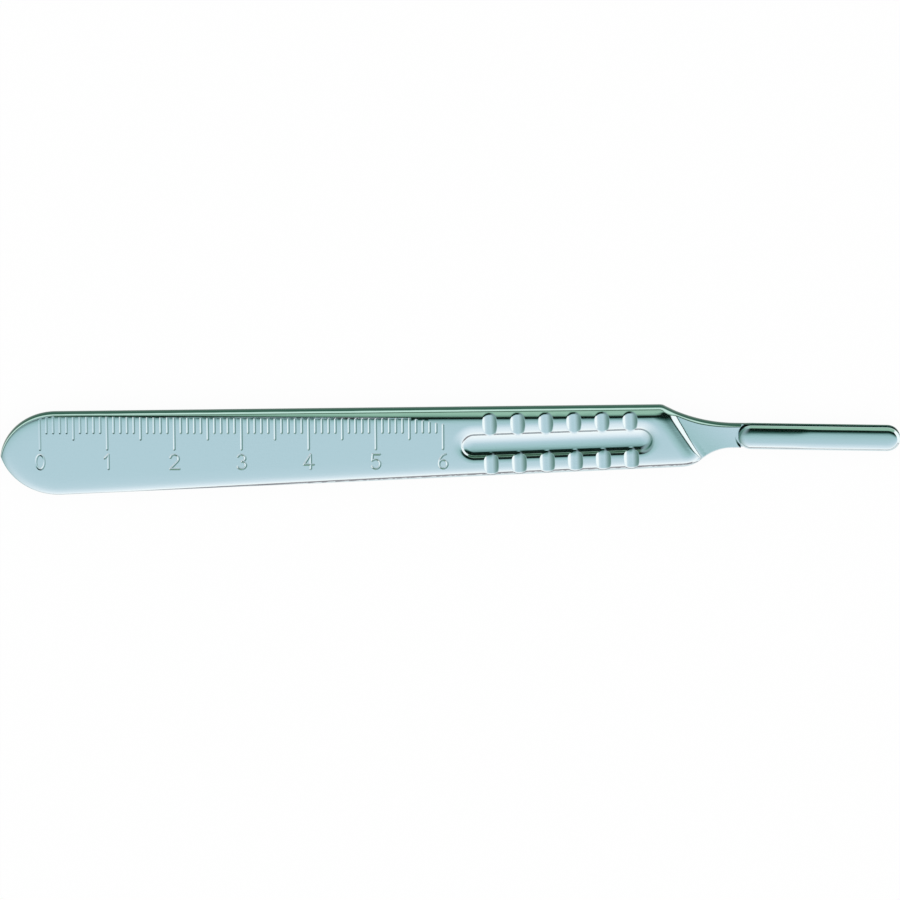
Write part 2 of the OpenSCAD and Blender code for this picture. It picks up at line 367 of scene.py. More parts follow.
def climb(section):
    """Heights of one side of the hollow above its floor, at close steps from the middle line."""
    step = 0.0025
    places = np.arange(0, 4, step)
    leans = np.interp(places, [place for place, _ in section], [lean for _, lean in section])
    slopes = np.tan(np.radians(leans))
    return places, np.concatenate([[0], np.cumsum((slopes[1:] + slopes[:-1]) * (step / 2))])


def hollow_sink(x, y):
    """Depth of the hollow. Its side towards the belly rises little up to a steep wall, and the other side
    climbs earlier and more gently. Both rims roll over into the face."""
    reach = hollow_reach(x, y)
    _, across = hollow_frame(x, y)
    high = smooth_step((across / np.maximum(reach, 1e-6) + 1) / 2)
    places, low_rise = climb(HOLLOW_LOW)
    _, high_rise = climb(HOLLOW_HIGH)
    depth = (low_rise[-1] + high_rise[-1]) / 2
    rise = (high * np.interp(reach, places, high_rise) / high_rise[-1]
            + (1 - high) * np.interp(reach, places, low_rise) / low_rise[-1])
    return depth * (1 - rise)


def facet_place(x, y):
    """Distance past the top line of the shoulder facet."""
    c, s = math.cos(SHOULDER_ANGLE), math.sin(SHOULDER_ANGLE)
    return (x - corner[0] - SHOULDER_GAP) * c + (y - corner[1]) * s


def tongue_frame(x, y):
    """Distance along the tongue from its rear end, and to one side of its middle line."""
    dx, dy = x - tongue_rear[0], y - tongue_rear[1]
    return dx * tongue_way[0] + dy * tongue_way[1], dx * tongue_side[0] + dy * tongue_side[1]


def neck_height(x, y, front):
    """Height of the neck. On the front it ramps down to the trench, and on the back it runs on into the
    bevelled underside of the tongue."""
    if front:
        ramp_from = corner[0] + NECK_BACK_L / 2
        t = facet_place(x, y)
        lean = NECK_LEAN + (NECK_LEAN_END - NECK_LEAN) * np.clip((t - NECK_LEAN_FROM) / NECK_LEAN_RUN, 0, 1)
        return (HALF_WEB - NECK_DROP * np.clip((x - ramp_from) / (tongue_x - ramp_from), 0, 1)
                - lean * (y - TONGUE_Y) * smooth_step((t - NECK_EASE_FROM) / NECK_EASE_RUN))
    d, side = tongue_frame(x, y)
    past_tip = np.maximum(d - (TONGUE_L - TONGUE_HALF), 0)
    inside = TONGUE_HALF - np.hypot(past_tip, side)
    fade = smooth_step((d - FOOT_FROM) / FOOT_RUN)
    foot = HALF_WEB - FOOT_BEVEL * fade + inside
    return np.where(d < 0.8 * FOOT_FROM, HALF_WEB, soft_min(HALF_WEB + 0 * x, foot, FOOT_BLEND))


def face_height(x, y, front):
    """Height of a face above the middle plane, without the scale."""
    x, y = np.asarray(x, float), np.asarray(y, float)
    back, belly = side_distance(x, y)
    inside = soft_min(back, belly, NOSE_BLEND)
    bevel = np.maximum((swelled(x, front) - HALF_WALL) / BEVEL_SLOPE, 0)
    crown = 0
    for side, parts in ((back - bevel, BACK_CROWN), (belly - bevel, BELLY_CROWN)):
        for slope, width in parts:
            crown = crown + slope * width / 3 * np.clip(1 - side / width, 0, CROWN_LIMIT) ** 3
    reach = hollow_reach(x, y)
    body = swelled(x, front) - crown - hollow_sink(x, y)
    t = facet_place(x, y)
    curve = SHOULDER_REACH - SHOULDER_FLAT
    fall = np.clip(SHOULDER_REACH + t, 0, curve) ** 2 / (2 * curve) + np.clip(SHOULDER_FLAT + t, 0, 2)
    body = body - SHOULDER_LEAN * fall * smooth_step(reach - SHOULDER_CLEAR)
    u, across = hollow_frame(x, y)
    dip = GROOVE_DIP * np.clip((across + DIP_END) / DIP_RUN, 0, 1) ** 2
    dip = dip * smooth_step((-across - DIP_START) / DIP_EASE)
    for i in range(GROOVE_N):
        du = np.abs(u - GROOVE_START - i * GROOVE_PITCH)
        wall = GROOVE_R - np.sqrt(np.maximum(GROOVE_R ** 2 - du ** 2, 0))
        # Outside its round the groove rises steeply, so that it cuts nothing there
        groove = HALF_BODY - GROOVE_DEPTH - dip + wall + 8 * np.maximum(du - GROOVE_R * 0.98, 0)
        body = soft_min(body, groove, GROOVE_BLEND)
    body = soft_min(body, HALF_WALL + inside * BEVEL_SLOPE, BEVEL_BLEND)
    facet = FACET_TOP - FACET_SLOPE * t
    low = soft_max(facet, neck_height(x, y, front), FACET_BLEND)
    return np.where(t > PAST_FACET, neck_height(x, y, front), soft_min(body, low, SHOULDER_EDGE))


def on_back(x):
    """Height of the back edge above the nose line."""
    if x > back_end_x:
        return back_y(x)
    return -BACK_END_DROP + math.sqrt(BACK_END_R ** 2 - (back_end_x - x) ** 2)


def marks():
    """The marks of the scale, each as a straight stroke from the back edge towards the belly."""
    strokes = []
    for i in range(MARKS + 1):
        x = SCALE_X + i
        end = LONG_MARK_END if i % 10 == 0 else HALF_MARK_END if i % 5 == 0 else MARK_END
        bevel = max(0.0, (float(swelled(np.array(x), True)) - HALF_WALL) / BEVEL_SLOPE)
        start = on_back(x) - max(bevel, MARK_INSET) - MARK_GAP - LATE_DROP * max(0, i - LATE_MARK)
        strokes.append([np.array([x, start]), np.array([x, end])])
    return strokes


def bow(cu, cv, ru, rv, start, end, n=14):
    """Points along an elliptic bow in a digit's own square, angles in degrees."""
    return [(cu + ru * math.cos(math.radians(start + (end - start) * i / n)),
             cv + rv * math.sin(math.radians(start + (end - start) * i / n))) for i in range(n + 1)]


# Strokes of the digits in a square from -0.5 to 0.5 across and 0 to 1 upwards
DIGITS = {
    0: [bow(0, 0.5, 0.44, 0.5, 90, 450, 24)],
    1: [[(-0.28, 0.74), (0.12, 1.0), (0.12, 0.0)]],
    2: [bow(0, 0.71, 0.44, 0.29, 165, -35, 12) + [(-0.46, 0.0), (0.5, 0.0)]],
    3: [bow(-0.02, 0.75, 0.40, 0.25, 155, -80, 12), bow(-0.02, 0.27, 0.46, 0.27, 85, -155, 14)],
    4: [[(0.2, 0.0), (0.2, 1.0), (-0.5, 0.3), (0.5, 0.3)]],
    5: [[(0.4, 1.0), (-0.34, 1.0), (-0.4, 0.56)] + bow(-0.02, 0.33, 0.46, 0.33, 125, -150, 14)],
    6: [bow(0.0, 0.3, 0.44, 0.3, 180, 540, 20), bow(0.42, 0.3, 0.86, 0.7, 180, 100, 10)],
}


def digit_strokes():
    """The strokes of the numbers from 0 to 6, each under its long mark."""
    strokes = []
    for digit, shapes in DIGITS.items():
        x = SCALE_X + 10 * digit
        for shape in shapes:
            strokes.append([np.array([x + u * DIGIT_W, DIGIT_TOP - DIGIT_H * (1 - v)]) for u, v in shape])
    return strokes


def stroke_distance(x, y, stroke):
    """Distance from the nearest part of a stroke."""
    best = np.full(x.shape, 1e9)
    for a, b in zip(stroke[:-1], stroke[1:]):
        ab = b - a
        t = np.clip(((x - a[0]) * ab[0] + (y - a[1]) * ab[1]) / (ab @ ab), 0, 1)
        best = np.minimum(best, np.hypot(x - a[0] - t * ab[0], y - a[1] - t * ab[1]))
    return best


MARK_STROKES = marks()
DIGIT_STROKES = digit_strokes()


def cut_depth(distance, half, depth):
    """Depth of an engraved stroke at a distance from its middle."""
    t = np.clip(distance / half, 0, 1)
    return depth * (1 - t * t) ** 1.5


def engraving(x, y):
    """Depth of the scale and its numbers below the front face."""
    sink = np.zeros(x.shape)
    near = np.abs((x - SCALE_X) - np.round(x - SCALE_X)) < MARK_HALF * 1.5
    for stroke in MARK_STROKES:
        pick = near & (np.abs(x - stroke[0][0]) < 0.4) & (y > stroke[1][1] - 0.5)
        if pick.any():
            found = cut_depth(stroke_distance(x[pick], y[pick], stroke), MARK_HALF, MARK_DEPTH)
            sink[pick] = np.maximum(sink[pick], found)
    for stroke in DIGIT_STROKES:
        points = np.array(stroke)
        low, high = points.min(0) - 0.3, points.max(0) + 0.3
        pick = (x > low[0]) & (x < high[0]) & (y > low[1]) & (y < high[1])
        if pick.any():
            found = cut_depth(stroke_distance(x[pick], y[pick], stroke), DIGIT_HALF, DIGIT_DEPTH)
            sink[pick] = np.maximum(sink[pick], found)
    return sink * (WORN_SHARE + (1 - WORN_SHARE) * np.clip((x - SCALE_X) / WORN_L, 0, 1))


def skin_height(x, y, front):
    """Height of a face above the middle plane, with the scale on the front."""
    x, y = np.asarray(x, float), np.asarray(y, float)
    z = face_height(x, y, front)
    return z - engraving(x, y) if front else z


def skin_normals(x, y, front):
    """Unit normals of a face, from its slopes. They point out of the steel."""
    h = 0.006
    sx = (skin_height(x + h, y, front) - skin_height(x - h, y, front)) / (2 * h)
    sy = (skin_height(x, y + h, front) - skin_height(x, y - h, front)) / (2 * h)
    n = np.stack([-sx, -sy, np.ones_like(sx)], 1)
    if not front:
        n[:, 2] *= -1
    return n / np.linalg.norm(n, axis=1, keepdims=True)


class Skin:
    """Gathers patches of the steel's surface and joins them where their points meet."""

    def __init__(self):
        self.index = {}
        self.points = []
        self.faces = []
        self.normals = []

    def add(self, points, normals, faces):
        """Adds a patch. Its faces are turned to suit its normals, and those without width are left out."""
        points, normals = np.asarray(points, float), np.asarray(normals, float)
        ids = []
        for p in points:
            key = (round(p[0] * 1e4), round(p[1] * 1e4), round(p[2] * 1e4))
            if key not in self.index:
                self.index[key] = len(self.points)
                self.points.append(p)
            ids.append(self.index[key])
        facing = 0.0
        kept = []
        for face in faces:
            corners = [i for n, i in enumerate(face) if ids[i] != ids[face[n - 1]]]
            if len(corners) < 3 or len(set(ids[i] for i in corners)) < len(corners):
                continue
            a, b, c = (points[i] for i in (corners[0], corners[1], corners[-1]))
            facing += float(np.cross(b - a, c - a) @ normals[corners].mean(0))
            kept.append(corners)
        for corners in kept:
            if facing < 0:
                corners = corners[::-1]
            self.faces.append([ids[i] for i in corners])
            self.normals.extend(normals[corners])

    def strip(self, points, normals, closed):
        """A patch of rows and columns: points[row][column]."""
        points, normals = np.asarray(points, float), np.asarray(normals, float)
        rows, columns = points.shape[:2]
        last = columns if closed else columns - 1
        faces = [(r * columns + c, r * columns + (c + 1) % columns,
                  (r + 1) * columns + (c + 1) % columns, (r + 1) * columns + c)
                 for r in range(rows - 1) for c in range(last)]
        self.add(points.reshape(-1, 3), normals.reshape(-1, 3), faces)

    def piece(self, name):
        """The finished mesh as an object in the row frame, in metres."""
        place = np.array([HALF_L, mid_y, -HALF_BODY])
        mesh = bpy.data.meshes.new(name)
        mesh.from_pydata((np.array(self.points) - place) / 1000, [], self.faces)
        mesh.shade_smooth()
        mesh.normals_split_custom_set(np.array(self.normals))
        mesh.update()
        piece = bpy.data.objects.new(name, mesh)
        bpy.context.scene.collection.objects.link(piece)
        return piece


def in_loop(points, loop):
    """Which points lie inside a closed loop."""
    inside = np.zeros(len(points), bool)
    x, y = points[:, 0], points[:, 1]
    for a, b in zip(loop, np.roll(loop, -1, 0)):
        if a[1] == b[1]:
            continue
        crosses = (a[1] > y) != (b[1] > y)
        inside ^= crosses & (x < a[0] + (y - a[1]) / (b[1] - a[1]) * (b[0] - a[0]))
    return inside


def loop_distance(points, loop):
    """Distance of points from the nearest side of a closed loop."""
    best = np.full(len(points), 1e9)
    for a, b in zip(loop, np.roll(loop, -1, 0)):
        ab = b - a
        t = np.clip((points - a) @ ab / (ab @ ab), 0, 1)
        best = np.minimum(best, np.hypot(*(points - a - t[:, None] * ab).T))
    return best


def cut_face(loops, runs, fill, margin):
    """Triangles over the inside of the first loop and the outside of the others, which follow the runs
    of points. Returns the plan points, the triangles and, for each point of the loops, its number in
    the result."""
    points = [p for loop in loops for p in loop]
    edges = []
    start = 0
    for loop in loops:
        edges += [(start + i, start + (i + 1) % len(loop)) for i in range(len(loop))]
        start += len(loop)
    rim = len(points)
    for run in runs:
        run = np.asarray(run, float)
        keep = in_loop(run, loops[0]) & (loop_distance(run, loops[0]) > margin)
        before = None
        for p, ok in zip(run, keep):
            if ok:
                points.append(p)
                if before is not None:
                    edges.append((before, len(points) - 1))
                before = len(points) - 1
            else:
                before = None
    if len(fill):
        fill = fill[in_loop(fill, loops[0])]
        fill = fill[loop_distance(fill, loops[0]) > margin * 3]
        points += list(fill)
    flat = [Vector(p) for p in points]
    made, sides, faces, origins, side_origins, _ = delaunay_2d_cdt(flat, edges, [], 0, 1e-5)
    plan = np.array([points[o[0]] if o else v[:] for v, o in zip(made, origins)], float)
    where = {i: n for n, o in enumerate(origins) for i in o if i < rim}
    fences = {tuple(sorted(side)) for side, o in zip(sides, side_origins) if any(i < rim for i in o)}
    faces = np.array([list(f) for f in faces])
    keep = regions(plan, faces, fences, loops)
    return plan, faces[keep], [where[i] for i in range(rim)]


def regions(plan, faces, fences, loops):
    """Which triangles lie inside the first loop and outside the others; triangles that meet across no fence
    go together, by the larger part of their area."""
    middles = plan[faces].mean(1)
    inside = in_loop(middles, loops[0])
    for loop in loops[1:]:
        inside &= ~in_loop(middles, loop)
    a, b, c = (plan[faces[:, i]] for i in range(3))
    area = np.abs((b - a)[:, 0] * (c - a)[:, 1] - (b - a)[:, 1] * (c - a)[:, 0])
    beside_side = {}
    for n, face in enumerate(faces.tolist()):
        for i in range(3):
            side = (face[i], face[i - 1]) if face[i] < face[i - 1] else (face[i - 1], face[i])
            if side not in fences:
                beside_side.setdefault(side, []).append(n)
    joined = [[] for _ in faces]
    for pair in beside_side.values():
        if len(pair) == 2:
            joined[pair[0]].append(pair[1])
            joined[pair[1]].append(pair[0])
    keep = np.zeros(len(faces), bool)
    seen = np.zeros(len(faces), bool)
    for first in range(len(faces)):
        if seen[first]:
            continue
        seen[first] = True
        group = [first]
        for n in group:
            for m in joined[n]:
                if not seen[m]:
                    seen[m] = True
                    group.append(m)
        group = np.array(group)
        keep[group] = area[group[inside[group]]].sum() * 2 > area[group].sum()
    return keep


def level_line(level, step=0.4):
    """Points round the hollow of the grip at a distance from its middle line."""
    half = HOLLOW_W / 2
    along = np.array([math.cos(HOLLOW_TILT), math.sin(HOLLOW_TILT)])
    across = np.array([-along[1], along[0]])
    start = np.array([HOLLOW_X, HOLLOW_Y])
    rear, fore = start + half * along, start + (HOLLOW_L - half) * along
    if level == 0:
        return line(rear, fore, step)
    a = HOLLOW_TILT
    return (line(rear + level * across, fore + level * across, step)
            + arc(fore, level, a + math.pi / 2, a - math.pi / 2, step)[1:]
            + line(fore - level * across, rear - level * across, step)[1:]
            + arc(rear, level, a - math.pi / 2, a - 3 * math.pi / 2, step)[1:])


def clear_of_digits(run):
    """The same run, broken off near the numbers and the free ends of the marks, where a close grid takes
    over."""
    run = np.array(run, float)
    near = np.zeros(len(run), bool)
    ends = [stroke[1] for stroke in MARK_STROKES] + [stroke[0] for stroke in MARK_STROKES[LATE_MARK + 1:]]
    for end in ends:
        near |= np.hypot(*(run - end).T) < 0.45
    for stroke in DIGIT_STROKES:
        near |= stroke_distance(run[:, 0], run[:, 1], stroke) < 0.4
    run[near] = NOWHERE
    return run


def shaping_lines(edge, inward, front):
    """Runs of points along which a face bends: bevels, crown, grip, shoulder and scale."""
    runs = []
    body = edge[:, 0] < corner[0] + 6
    bevel = np.maximum((swelled(edge[:, 0], front) - HALF_WALL) / BEVEL_SLOPE, 0)
    for offset in (-0.32, -0.24, *np.arange(-0.18, 0.19, 0.045), 0.24, 0.32, 0.5, 0.9, 1.4, 2.0, 2.7, 3.4):
        run = edge + inward * (bevel + 0.02 + offset)[:, None]
        run[~body] = NOWHERE
        runs.append(np.roll(run, -int(np.argmax(~body)), 0))
    levels = (0, 0.5, 0.8, 1.05, 1.15, 1.25, 1.4, *np.arange(1.5, 2.5, 0.06), 2.65, 2.85, 3.05, 3.35, 3.65)
    for level in levels:
        runs.append(level_line(level))
    along = np.array([math.cos(HOLLOW_TILT), math.sin(HOLLOW_TILT)])
    across = np.array([-along[1], along[0]])
    for i in range(GROOVE_N):
        middle = np.array([HOLLOW_X, HOLLOW_Y]) + along * (GROOVE_START + i * GROOVE_PITCH)
        for du in (0, 0.3, 0.6, 0.85, 1.0, 1.1, 1.17, 1.24, 1.34):
            for side in ((1,) if du == 0 else (-1, 1)):
                at = middle + along * du * side
                for v0, v1 in ((1.4, 7.5), (-1.4, -8.5)):
                    runs.append(line(at + across * v0, at + across * v1, 0.3))
    facet = np.array([-math.sin(SHOULDER_ANGLE), math.cos(SHOULDER_ANGLE)])
    fall = np.array([facet[1], -facet[0]])
    top = corner + np.array([SHOULDER_GAP, 0])
    width = (FACET_TOP - HALF_WEB) / FACET_SLOPE
    for t in (-4, -3, -2, -1.2, -0.6, -0.25, *np.linspace(-0.1, width + 0.1, 15), width + 0.3, width + 1):
        runs.append(line(top + fall * t + facet * 2, top + fall * t - facet * 12, 0.4))
    if front:
        runs = [clear_of_digits(run) for run in runs]
        for stroke in MARK_STROKES:
            for s in (-1.0, -0.8, -0.5, -0.2, 0, 0.2, 0.5, 0.8, 1.0):
                runs.append(line(stroke[0] + [s * MARK_HALF, 0], stroke[1] + [s * MARK_HALF, 0], 0.5))
    return runs


def bent_points(front):
    """Points of a close grid where a face bends sharply."""
    found = []
    for low in range(0, int(TOTAL_L), 10):
        xs, ys = np.meshgrid(np.arange(low, low + 10, BEND_STEP), np.arange(-7.5, 8.5, BEND_STEP))
        points = np.stack([xs.ravel(), ys.ravel()], 1)
        here = face_height(points[:, 0], points[:, 1], front)
        bend = np.zeros(len(points))
        for dx, dy in ((0.05, 0), (0, 0.05), (0.035, 0.035), (0.035, -0.035)):
            there = face_height(points[:, 0] + dx, points[:, 1] + dy, front)
            back = face_height(points[:, 0] - dx, points[:, 1] - dy, front)
            bend = np.maximum(bend, np.abs(there + back - 2 * here) / (dx * dx + dy * dy))
        found.append(points[bend > BEND_LIMIT])
    return np.concatenate(found)


def fill_points(front):
    """Points spread over the faces, closer together at the grip."""
    sets = []
    for x0, x1, step in ((1.0, 68.0, 1.1), (68.0, 98.0, 0.55), (98.0, 134.0, 0.6)):
        xs, ys = np.meshgrid(np.arange(x0, x1, step), np.arange(-8.0, 8.0, step * 0.87))
        xs[1::2] += step / 2
        sets.append(np.stack([xs.ravel(), ys.ravel()], 1))
    sets.append(bent_points(front))
    fill = np.concatenate(sets)
    if front:
        around = np.full(len(fill), 1e9)
        for stroke in MARK_STROKES + DIGIT_STROKES:
            points = np.array(stroke)
            pick = np.abs(fill[:, 0] - points[:, 0].mean()) < 2
            around[pick] = np.minimum(around[pick], stroke_distance(fill[pick, 0], fill[pick, 1], stroke))
        sets = [fill[around > 0.25]]
        for stroke in DIGIT_STROKES:
            sets.append(fine_points(np.min(stroke, 0), np.max(stroke, 0), stroke, DIGIT_HALF + 0.05))
        for i, stroke in enumerate(MARK_STROKES):
            for end in stroke if i > LATE_MARK else stroke[1:]:
                sets.append(fine_points(end - [0, 0.1], end + [0, 0.1], stroke, MARK_HALF + 0.05))
        fill = np.unique(np.concatenate(sets).round(4), axis=0)
    return fill


def fine_points(low, high, stroke, reach):
    """Points of a fine grid that lie near a stroke."""
    low, high = np.floor((low - reach) / FINE) * FINE, np.ceil((high + reach) / FINE) * FINE
    xs, ys = np.meshgrid(np.arange(low[0], high[0], FINE), np.arange(low[1], high[1], FINE))
    points = np.stack([xs.ravel(), ys.ravel()], 1)
    return points[stroke_distance(points[:, 0], points[:, 1], stroke) < reach]


def wall_profile(edge, inward, front):
    """Rows of one half of the side walls, from the middle out to the face: offsets inwards, heights and
    normals. The wall bulges a little, and its edge with the face is rounded."""
    sign = 1 if front else -1

    def height(offset):
        """Height of the face at offsets inwards from the outline."""
        at = edge + inward * offset[:, None]
        return sign * skin_height(at[:, 0], at[:, 1], front)

    zero = np.zeros(len(edge))
    lean = (height(zero) - SLOT_FLOOR) ** 2 / (2 * WALL_ROUND)
    top = height(lean)
    rim = np.minimum(EDGE_CUT, 0.35 * np.abs(top - SLOT_FLOOR))
    wall_end = top - sign * rim
    rows = []
    for t in np.linspace(0, 1, WALL_ROWS):
        z = SLOT_FLOOR + (wall_end - SLOT_FLOOR) * t
        offset = (z - SLOT_FLOOR) ** 2 / (2 * WALL_ROUND)
        slope = np.abs(z - SLOT_FLOOR) / WALL_ROUND
        rows.append((offset, z, -np.ones_like(z), sign * slope))
    start_o, start_z = rows[-1][0], rows[-1][1]
    end_o, end_z = lean + EDGE_CUT, height(lean + EDGE_CUT)
    for t in np.linspace(0, 1, EDGE_ROWS)[1:]:
        offset = (1 - t) ** 2 * start_o + 2 * t * (1 - t) * lean + t * t * end_o
        z = (1 - t) ** 2 * start_z + 2 * t * (1 - t) * top + t * t * end_z
        go_o = 2 * (1 - t) * (lean - start_o) + 2 * t * (end_o - lean)
        go_z = 2 * (1 - t) * (top - start_z) + 2 * t * (end_z - top)
        rows.append((offset, z, -sign * go_z, sign * go_o))
    return rows


def wall_rows(edge, inward, front):
    """Points and normals of the wall rows in space."""
    points, normals = [], []
    for offset, z, n_in, n_up in wall_profile(edge, inward, front):
        at = edge + inward * offset[:, None]
        points.append(np.column_stack([at, z]))
        n = np.column_stack([inward * n_in[:, None], n_up])
        normals.append(n / np.linalg.norm(n, axis=1, keepdims=True))
    return np.array(points), np.array(normals)


def add_face(skin, rim, runs, fill, front):
    """Covers one face inside its rim, given in space."""
    sign = 1 if front else -1
    plan, faces, where = cut_face([rim[:, :2]], runs, fill, RIM_MARGIN)
    z = sign * skin_height(plan[:, 0], plan[:, 1], front)
    points = np.column_stack([plan, z])
    points[where[:len(rim)]] = rim
    skin.add(points, skin_normals(plan[:, 0], plan[:, 1], front), faces.tolist())


def stadium(inset, half_steps=28, long_steps=14):
    """Plan of the tongue at an inset from its edge, and the outward directions there."""
    rear, fore = along_tongue(TONGUE_HALF, 0), along_tongue(TONGUE_L - TONGUE_HALF, 0)
    centres, angles = [], []
    for i in range(half_steps):
        centres.append(rear)
        angles.append(math.pi / 2 + math.pi * (1 - i / half_steps))
    for i in range(long_steps):
        centres.append(rear + (fore - rear) * i / long_steps)
        angles.append(math.pi / 2)
    for i in range(half_steps):
        centres.append(fore)
        angles.append(math.pi / 2 - math.pi * i / half_steps)
    for i in range(long_steps):
        centres.append(fore + (rear - fore) * i / long_steps)
        angles.append(-math.pi / 2)
    out = np.array([turn(a - TONGUE_TILT) for a in angles])
    return np.array(centres) + out * max(TONGUE_HALF - inset, 0.0), out


def add_tongue(skin):
    """The upper part of the tongue, from the floor of the slot over the lip to its crowned top."""
    def ring(inset, z):
        """Points round the tongue at an inset and a height, and the outward directions there."""
        plan, out = stadium(inset)
        return np.column_stack([plan, np.broadcast_to(z, len(plan))]), out

    def normal(out, n_out, n_up):
        """Unit normals from their outward and upward parts."""
        sideways = out * np.broadcast_to(n_out, len(out))[:, None]
        n = np.column_stack([sideways, np.broadcast_to(n_up, len(out))])
        return n / np.linalg.norm(n, axis=1, keepdims=True)

    low, out = ring(SLOT_DEPTH, SLOT_FLOOR)
    high, _ = ring(SLOT_DEPTH, SLOT_TOP)
    skin.strip([low, high], [normal(out, 1, 0)] * 2, True)
    rows = [(SLOT_DEPTH, SLOT_TOP, 0, -1), (LIP_R, SLOT_TOP, 0, -1)]
    for a in (30, 60, 90):
        c, s = math.cos(math.radians(a)), math.sin(math.radians(a))
        rows.append((LIP_R * (1 - s), SLOT_TOP + LIP_R * (1 - c), s, -c))
    plan, _ = stadium(0)
    d, _ = tongue_frame(plan[:, 0], plan[:, 1])
    flat = TONGUE_HALF - LIP_RUN
    spread = flat - TONGUE_RIDGE * (out @ tongue_side)
    edge_power = REAR_POWER + (TIP_POWER - REAR_POWER) * smooth_step((d - POWER_FROM) / POWER_RUN)
    lip_top = TONGUE_TOP - TONGUE_CROWN - TONGUE_EDGE
    rise = lip_top - LIP_FOOT
    rows.append((0.0, LIP_FOOT - 0.04, 1, 0))
    points = [ring(o, z)[0] for o, z, _, _ in rows]
    normals = [normal(out, a, b) for _, _, a, b in rows]
    for t in (0.12, 0.5, 0.9):
        points.append(ring(LIP_RUN * t, LIP_FOOT + rise * t)[0])
        normals.append(normal(out, rise, LIP_RUN))
    for t in (1.0, 0.97, 0.93, 0.88, 0.82, 0.74, 0.62, 0.45, 0.25, 0.0):
        inset = TONGUE_HALF - flat * t
        if t == 1.0:
            inset += 0.01
        row = ring(inset, TONGUE_TOP - TONGUE_CROWN * t ** 2 - TONGUE_EDGE * t ** edge_power)[0]
        points.append(row + TONGUE_RIDGE * (1 - t) * np.append(tongue_side, 0))
        slope = (2 * TONGUE_CROWN * t + TONGUE_EDGE * edge_power * t ** (edge_power - 1)) / spread
        normals.append(normal(out, slope, 1))
    skin.strip(points, normals, True)


def inward_ways(edge):
    """Directions into the steel at the points of the outline."""
    go = np.roll(edge, -1, 0) - np.roll(edge, 1, 0)
    go /= np.linalg.norm(go, axis=1, keepdims=True)
    return np.column_stack([go[:, 1], -go[:, 0]])


def add_front_walls(skin, edge, inward):
    """The front half of the side walls, which ends at the trench on both sides of the neck. Returns its
    rows."""
    points, normals = wall_rows(edge, inward, True)
    profile = wall_profile(edge, inward, True)
    for column, side in ((0, -1), (-1, 1)):
        for row, (offset, _, _, _) in enumerate(profile):
            half = neck_half - offset[column]
            at = along_tongue(trench_middle - math.sqrt(trench_r ** 2 - half ** 2), side * half)
            points[row, column, :2] = at
        x, y = points[-1, column, :2]
        points[-1, column, 2] = skin_height([x], [y], True)[0]
    skin.strip(points, normals, False)
    return points


def add_trench(skin, walls):
    """The round wall of the trench behind the tongue, between the two ends of the front walls. Returns its
    rows."""
    points, normals = [], []
    for row, wall in enumerate(walls):
        belly, back = wall[0], wall[-1]
        _, side_a = tongue_frame(belly[0], belly[1])
        _, side_b = tongue_frame(back[0], back[1])
        turns = np.linspace(math.asin(side_a / trench_r), math.asin(side_b / trench_r), 31)
        at = np.array([along_tongue(trench_middle - trench_r * math.cos(a), trench_r * math.sin(a))
                       for a in turns])
        z = np.linspace(belly[2], back[2], len(turns))
        if row == len(walls) - 1:
            z = skin_height(at[:, 0], at[:, 1], True)
        ring = np.column_stack([at, z])
        ring[0], ring[-1] = belly, back
        points.append(ring)
        inwards = np.array([math.cos(a) * tongue_way - math.sin(a) * tongue_side for a in turns])
        normals.append(np.column_stack([inwards, np.zeros(len(turns))]))
    skin.strip(points, normals, False)
    return points


def add_slot_floor(skin, tongue_run, trench_row):
    """The flat floor of the slot, between the outline of the tongue and the foot of its upper part."""
    rim = np.concatenate([tongue_run, trench_row[1:-1, :2]])
    plan, faces, _ = cut_face([rim, stadium(SLOT_DEPTH)[0]], [], [], 0)
    points = np.column_stack([plan, np.full(len(plan), SLOT_FLOOR)])
    skin.add(points, np.tile([0.0, 0.0, 1.0], (len(plan), 1)), faces.tolist())


def foot_lines(edge, inward):
    """Runs of points along the bevelled foot of the tongue, on the back."""
    runs = []
    for offset in (0.2, 0.28, 0.35, 0.42, 0.6):
        run = edge + inward * offset
        run[edge[:, 0] < tongue_x - 1] = NOWHERE
        runs.append(run)
    return runs


def build_skin():
    """The whole surface of the handle as one closed mesh."""
    edge, start, end = outline()
    inward = inward_ways(edge)
    skin = Skin()

    back_walls, back_normals = wall_rows(edge, inward, False)
    skin.strip(back_walls, back_normals, True)
    order = list(range(end, len(edge))) + list(range(0, start + 1))
    front_walls = add_front_walls(skin, edge[order], inward[order])
    trench = add_trench(skin, front_walls)

    front_rim = np.concatenate([front_walls[-1], trench[-1][::-1][1:-1]])
    add_face(skin, front_rim, shaping_lines(edge, inward, True), fill_points(True), True)
    back_runs = shaping_lines(edge, inward, False) + foot_lines(edge, inward)
    add_face(skin, back_walls[-1], back_runs, fill_points(False), False)

    add_slot_floor(skin, edge[start:end + 1], trench[0])
    add_tongue(skin)
    return skin.piece("handle_skin")


handle = build_skin()
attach(handle, "root")
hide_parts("handle")


def group_of(name, inputs, outputs):
    """A shader node group with named values."""
    tree = bpy.data.node_groups.new(name, "ShaderNodeTree")
    for socket, kind, value in inputs:
        made = tree.interface.new_socket(name=socket, in_out="INPUT", socket_type=kind)
        if value is not None:
            made.default_value = value
    for socket, kind in outputs:
        tree.interface.new_socket(name=socket, in_out="OUTPUT", socket_type=kind)
    return tree


def linear(*shown):
    """The linear colour of a shown one, 0 to 255."""
    return [(c / 255 / 12.92 if c < 10 else ((c / 255 + 0.055) / 1.055) ** 2.4) for c in shown] + [1.0]


# Colours of the polished faces, of a painted dark reflection of the shaded floor on the band low on the side
# walls, and of a painted green reflection on the rest of those walls
STEEL = (0.62, 0.74, 0.77)
PAINTED_DARK_REFLECTION = (0.02, 0.1, 0.064)
PAINTED_GREEN_REFLECTION = (0.52, 0.77, 0.68)
LEAST_ROUGH = 0.08
MOST_ROUGH = 0.13
